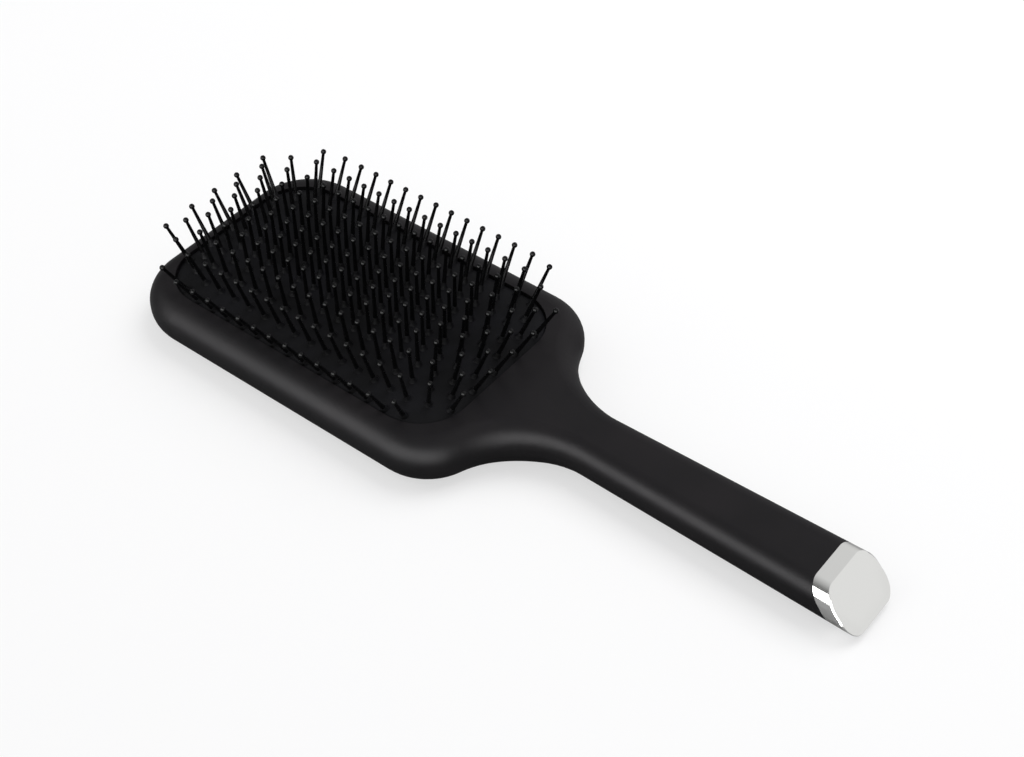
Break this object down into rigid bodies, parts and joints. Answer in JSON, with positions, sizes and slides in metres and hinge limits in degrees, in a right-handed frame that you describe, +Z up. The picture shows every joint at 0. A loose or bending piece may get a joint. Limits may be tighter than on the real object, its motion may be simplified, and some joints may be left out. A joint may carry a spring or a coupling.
{
  "type": "paddle brush",
  "caption": "Rectangular paddle hair brush with a crowned rubber air cushion, splayed ball-tipped nylon pins, a flared one-piece head and handle, and a plated cap on the handle's end",
  "frame": {"origin": "centre of the bounding box's bottom face, on the back that the brush lies on", "axes": "+X from the head's far end to the handle's end, +Y across the head, +Z up out of the pins"},
  "size_m": [0.252, 0.0852, 0.0326],
  "materials": {
    "soft_touch_black": "soft-touch coating, near black",
    "plated_cap": "bright satin plating",
    "cushion_rubber": "matt natural rubber, black",
    "pin_nylon": "moulded nylon, black"
  },
  "bodies": {
    "handle": {"handle_body": "soft_touch_black", "end_cap": "plated_cap", "cushion": "cushion_rubber"},
    "middle_pins": {"pins_row_03_middle": "pin_nylon", "pins_row_04_middle": "pin_nylon", "pins_row_05_middle": "pin_nylon", "pins_row_06_middle": "pin_nylon", "pins_row_07_middle": "pin_nylon", "pins_row_08_middle": "pin_nylon", "pins_row_09_middle": "pin_nylon"},
    "inner_ring_pins": {"pins_row_02_inner": "pin_nylon", "pins_row_03_inner": "pin_nylon", "pins_row_04_inner": "pin_nylon", "pins_row_05_inner": "pin_nylon", "pins_row_06_inner": "pin_nylon", "pins_row_07_inner": "pin_nylon", "pins_row_08_inner": "pin_nylon", "pins_row_09_inner": "pin_nylon", "pins_row_10_inner": "pin_nylon"},
    "outer_ring_pins": {"pins_row_01_outer": "pin_nylon", "pins_row_02_outer": "pin_nylon", "pins_row_04_outer": "pin_nylon", "pins_row_06_outer": "pin_nylon", "pins_row_08_outer": "pin_nylon", "pins_row_10_outer": "pin_nylon", "pins_row_11_outer": "pin_nylon"}
  },
  "joints": [
    {"name": "cushion_press", "type": "slide", "parent": "handle", "child": "middle_pins", "axis": [0, 0, -1], "range_m": [0, 0.002], "stiffness_N_per_m": 600, "deforming": ["cushion"]},
    {"name": "inner_ring_press", "type": "slide", "parent": "handle", "child": "inner_ring_pins", "axis": [0, 0, -1], "range_m": [0, 0.00165]},
    {"name": "outer_ring_press", "type": "slide", "parent": "handle", "child": "outer_ring_pins", "axis": [0, 0, -1], "range_m": [0, 0.0007]}
  ],
  "couplings": [
    {"joint": "inner_ring_press", "follows": "cushion_press", "ratio": 0.8},
    {"joint": "outer_ring_press", "follows": "cushion_press", "ratio": 0.32}
  ]
}
